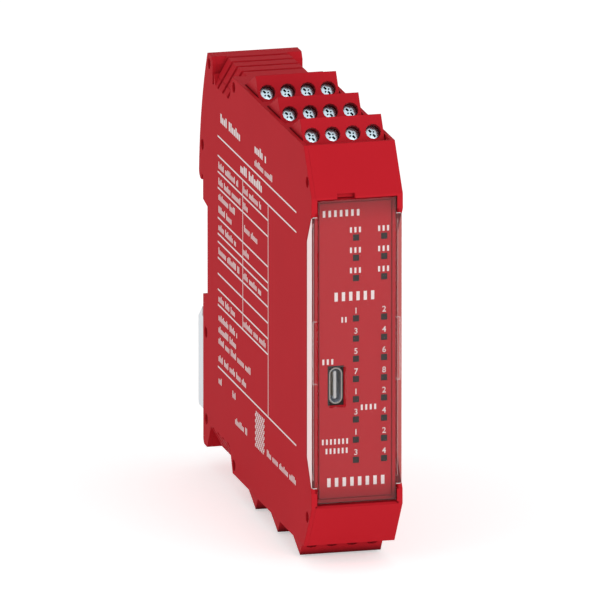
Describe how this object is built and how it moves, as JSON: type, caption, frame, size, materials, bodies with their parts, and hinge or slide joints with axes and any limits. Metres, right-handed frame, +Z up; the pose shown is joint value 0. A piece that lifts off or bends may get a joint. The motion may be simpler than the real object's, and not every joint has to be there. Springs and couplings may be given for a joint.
{
  "type": "modular safety controller",
  "caption": "Slim rail-mounted safety control module with plug-in screw terminals above and below, a clear hinged front cover over status lights, and a rail latch.",
  "frame": {"origin": "middle of the rail, on the rail's front plane, which is the housing's back face", "axes": "+X to the right seen from the front, +Y to the back, towards the rail, +Z up"},
  "size_m": [0.0226, 0.1122, 0.108],
  "materials": {
    "red_polyamide": "fine moulded texture",
    "plug_polyamide": "moulded, slightly smooth",
    "red_panel": "matt, white print",
    "clear_polycarbonate": "clear, polished",
    "smoked_polycarbonate": "smoked",
    "light_chip": "moulded",
    "circuit_board": "solder mask",
    "nickel_plated_steel": "nickel plated",
    "black_polyamide": "moulded",
    "contact_brass": "tinned",
    "plated_steel": "zinc plated",
    "spring_steel": "bright rolled",
    "grey_polyamide": "fine moulded texture"
  },
  "bodies": {
    "housing": {"housing_body": "red_polyamide", "side_cover": "red_polyamide", "front_panel": "red_panel", "light_guides": "smoked_polycarbonate", "light_chips": "light_chip", "display_board": "circuit_board", "main_board": "circuit_board", "port_shell": "nickel_plated_steel", "port_tongue": "black_polyamide", "bus_socket": "black_polyamide", "bus_contacts": "contact_brass", "latch_spring": "spring_steel", "header_pins": "contact_brass", "pin_header_top_1": "black_polyamide", "pin_header_top_2": "black_polyamide", "pin_header_top_3": "black_polyamide", "pin_header_bottom_1": "black_polyamide", "pin_header_bottom_2": "black_polyamide", "pin_header_bottom_3": "black_polyamide"},
    "front_cover": {"front_cover": "clear_polycarbonate"},
    "rail_latch": {"rail_latch": "grey_polyamide"},
    "plug_top_1": {"terminal_plug_top_1": "plug_polyamide", "wire_clamps_top_1": "plated_steel"},
    "plug_top_2": {"terminal_plug_top_2": "plug_polyamide", "wire_clamps_top_2": "plated_steel"},
    "plug_top_3": {"terminal_plug_top_3": "plug_polyamide", "wire_clamps_top_3": "plated_steel"},
    "plug_bottom_1": {"terminal_plug_bottom_1": "plug_polyamide", "wire_clamps_bottom_1": "plated_steel"},
    "plug_bottom_2": {"terminal_plug_bottom_2": "plug_polyamide", "wire_clamps_bottom_2": "plated_steel"},
    "plug_bottom_3": {"terminal_plug_bottom_3": "plug_polyamide", "wire_clamps_bottom_3": "plated_steel"},
    "screw_top_1_1": {"terminal_screw_top_1_1": "plated_steel"},
    "screw_top_1_2": {"terminal_screw_top_1_2": "plated_steel"},
    "screw_top_1_3": {"terminal_screw_top_1_3": "plated_steel"},
    "screw_top_1_4": {"terminal_screw_top_1_4": "plated_steel"},
    "screw_top_2_1": {"terminal_screw_top_2_1": "plated_steel"},
    "screw_top_2_2": {"terminal_screw_top_2_2": "plated_steel"},
    "screw_top_2_3": {"terminal_screw_top_2_3": "plated_steel"},
    "screw_top_2_4": {"terminal_screw_top_2_4": "plated_steel"},
    "screw_top_3_1": {"terminal_screw_top_3_1": "plated_steel"},
    "screw_top_3_2": {"terminal_screw_top_3_2": "plated_steel"},
    "screw_top_3_3": {"terminal_screw_top_3_3": "plated_steel"},
    "screw_top_3_4": {"terminal_screw_top_3_4": "plated_steel"},
    "screw_bottom_1_1": {"terminal_screw_bottom_1_1": "plated_steel"},
    "screw_bottom_1_2": {"terminal_screw_bottom_1_2": "plated_steel"},
    "screw_bottom_1_3": {"terminal_screw_bottom_1_3": "plated_steel"},
    "screw_bottom_1_4": {"terminal_screw_bottom_1_4": "plated_steel"},
    "screw_bottom_2_1": {"terminal_screw_bottom_2_1": "plated_steel"},
    "screw_bottom_2_2": {"terminal_screw_bottom_2_2": "plated_steel"},
    "screw_bottom_2_3": {"terminal_screw_bottom_2_3": "plated_steel"},
    "screw_bottom_2_4": {"terminal_screw_bottom_2_4": "plated_steel"},
    "screw_bottom_3_1": {"terminal_screw_bottom_3_1": "plated_steel"},
    "screw_bottom_3_2": {"terminal_screw_bottom_3_2": "plated_steel"},
    "screw_bottom_3_3": {"terminal_screw_bottom_3_3": "plated_steel"},
    "screw_bottom_3_4": {"terminal_screw_bottom_3_4": "plated_steel"}
  },
  "joints": [
    {"name": "cover_hinge", "type": "hinge", "parent": "housing", "child": "front_cover", "pos_m": [0, -0.1062, -0.0368], "axis": [1, 0, 0], "range_deg": [0, 100]},
    {"name": "latch_slide", "type": "slide", "parent": "housing", "child": "rail_latch", "axis": [0, 0, -1], "range_m": [0, 0.003], "stiffness_N_per_m": 600, "springref_m": -0.002, "deforming": ["latch_spring"]},
    {"name": "plug_top_1_pull", "type": "slide", "parent": "housing", "child": "plug_top_1", "axis": [0, 0, 1], "range_m": [0, 0.014]},
    {"name": "plug_top_2_pull", "type": "slide", "parent": "housing", "child": "plug_top_2", "axis": [0, 0, 1], "range_m": [0, 0.014]},
    {"name": "plug_top_3_pull", "type": "slide", "parent": "housing", "child": "plug_top_3", "axis": [0, 0, 1], "range_m": [0, 0.014]},
    {"name": "plug_bottom_1_pull", "type": "slide", "parent": "housing", "child": "plug_bottom_1", "axis": [0, 0, -1], "range_m": [0, 0.014]},
    {"name": "plug_bottom_2_pull", "type": "slide", "parent": "housing", "child": "plug_bottom_2", "axis": [0, 0, -1], "range_m": [0, 0.014]},
    {"name": "plug_bottom_3_pull", "type": "slide", "parent": "housing", "child": "plug_bottom_3", "axis": [0, 0, -1], "range_m": [0, 0.014]},
    {"name": "screw_top_1_1_turn", "type": "hinge", "parent": "plug_top_1", "child": "screw_top_1_1", "pos_m": [-0.0075, -0.0496, 0.0504], "axis": [0, 0.8377, -0.5461], "continuous": true},
    {"name": "screw_top_1_2_turn", "type": "hinge", "parent": "plug_top_1", "child": "screw_top_1_2", "pos_m": [-0.0025, -0.0496, 0.0504], "axis": [0, 0.8377, -0.5461], "continuous": true},
    {"name": "screw_top_1_3_turn", "type": "hinge", "parent": "plug_top_1", "child": "screw_top_1_3", "pos_m": [0.0025, -0.0496, 0.0504], "axis": [0, 0.8377, -0.5461], "continuous": true},
    {"name": "screw_top_1_4_turn", "type": "hinge", "parent": "plug_top_1", "child": "screw_top_1_4", "pos_m": [0.0075, -0.0496, 0.0504], "axis": [0, 0.8377, -0.5461], "continuous": true},
    {"name": "screw_top_2_1_turn", "type": "hinge", "parent": "plug_top_2", "child": "screw_top_2_1", "pos_m": [-0.0075, -0.07135, 0.0504], "axis": [0, 0.8377, -0.5461], "continuous": true},
    {"name": "screw_top_2_2_turn", "type": "hinge", "parent": "plug_top_2", "child": "screw_top_2_2", "pos_m": [-0.0025, -0.07135, 0.0504], "axis": [0, 0.8377, -0.5461], "continuous": true},
    {"name": "screw_top_2_3_turn", "type": "hinge", "parent": "plug_top_2", "child": "screw_top_2_3", "pos_m": [0.0025, -0.07135, 0.0504], "axis": [0, 0.8377, -0.5461], "continuous": true},
    {"name": "screw_top_2_4_turn", "type": "hinge", "parent": "plug_top_2", "child": "screw_top_2_4", "pos_m": [0.0075, -0.07135, 0.0504], "axis": [0, 0.8377, -0.5461], "continuous": true},
    {"name": "screw_top_3_1_turn", "type": "hinge", "parent": "plug_top_3", "child": "screw_top_3_1", "pos_m": [-0.0075, -0.0931, 0.0504], "axis": [0, 0.8377, -0.5461], "continuous": true},
    {"name": "screw_top_3_2_turn", "type": "hinge", "parent": "plug_top_3", "child": "screw_top_3_2", "pos_m": [-0.0025, -0.0931, 0.0504], "axis": [0, 0.8377, -0.5461], "continuous": true},
    {"name": "screw_top_3_3_turn", "type": "hinge", "parent": "plug_top_3", "child": "screw_top_3_3", "pos_m": [0.0025, -0.0931, 0.0504], "axis": [0, 0.8377, -0.5461], "continuous": true},
    {"name": "screw_top_3_4_turn", "type": "hinge", "parent": "plug_top_3", "child": "screw_top_3_4", "pos_m": [0.0075, -0.0931, 0.0504], "axis": [0, 0.8377, -0.5461], "continuous": true},
    {"name": "screw_bottom_1_1_turn", "type": "hinge", "parent": "plug_bottom_1", "child": "screw_bottom_1_1", "pos_m": [0.0075, -0.0496, -0.0504], "axis": [0, 0.8377, 0.5461], "continuous": true},
    {"name": "screw_bottom_1_2_turn", "type": "hinge", "parent": "plug_bottom_1", "child": "screw_bottom_1_2", "pos_m": [0.0025, -0.0496, -0.0504], "axis": [0, 0.8377, 0.5461], "continuous": true},
    {"name": "screw_bottom_1_3_turn", "type": "hinge", "parent": "plug_bottom_1", "child": "screw_bottom_1_3", "pos_m": [-0.0025, -0.0496, -0.0504], "axis": [0, 0.8377, 0.5461], "continuous": true},
    {"name": "screw_bottom_1_4_turn", "type": "hinge", "parent": "plug_bottom_1", "child": "screw_bottom_1_4", "pos_m": [-0.0075, -0.0496, -0.0504], "axis": [0, 0.8377, 0.5461], "continuous": true},
    {"name": "screw_bottom_2_1_turn", "type": "hinge", "parent": "plug_bottom_2", "child": "screw_bottom_2_1", "pos_m": [0.0075, -0.07135, -0.0504], "axis": [0, 0.8377, 0.5461], "continuous": true},
    {"name": "screw_bottom_2_2_turn", "type": "hinge", "parent": "plug_bottom_2", "child": "screw_bottom_2_2", "pos_m": [0.0025, -0.07135, -0.0504], "axis": [0, 0.8377, 0.5461], "continuous": true},
    {"name": "screw_bottom_2_3_turn", "type": "hinge", "parent": "plug_bottom_2", "child": "screw_bottom_2_3", "pos_m": [-0.0025, -0.07135, -0.0504], "axis": [0, 0.8377, 0.5461], "continuous": true},
    {"name": "screw_bottom_2_4_turn", "type": "hinge", "parent": "plug_bottom_2", "child": "screw_bottom_2_4", "pos_m": [-0.0075, -0.07135, -0.0504], "axis": [0, 0.8377, 0.5461], "continuous": true},
    {"name": "screw_bottom_3_1_turn", "type": "hinge", "parent": "plug_bottom_3", "child": "screw_bottom_3_1", "pos_m": [0.0075, -0.0931, -0.0504], "axis": [0, 0.8377, 0.5461], "continuous": true},
    {"name": "screw_bottom_3_2_turn", "type": "hinge", "parent": "plug_bottom_3", "child": "screw_bottom_3_2", "pos_m": [0.0025, -0.0931, -0.0504], "axis": [0, 0.8377, 0.5461], "continuous": true},
    {"name": "screw_bottom_3_3_turn", "type": "hinge", "parent": "plug_bottom_3", "child": "screw_bottom_3_3", "pos_m": [-0.0025, -0.0931, -0.0504], "axis": [0, 0.8377, 0.5461], "continuous": true},
    {"name": "screw_bottom_3_4_turn", "type": "hinge", "parent": "plug_bottom_3", "child": "screw_bottom_3_4", "pos_m": [-0.0075, -0.0931, -0.0504], "axis": [0, 0.8377, 0.5461], "continuous": true}
  ]
}
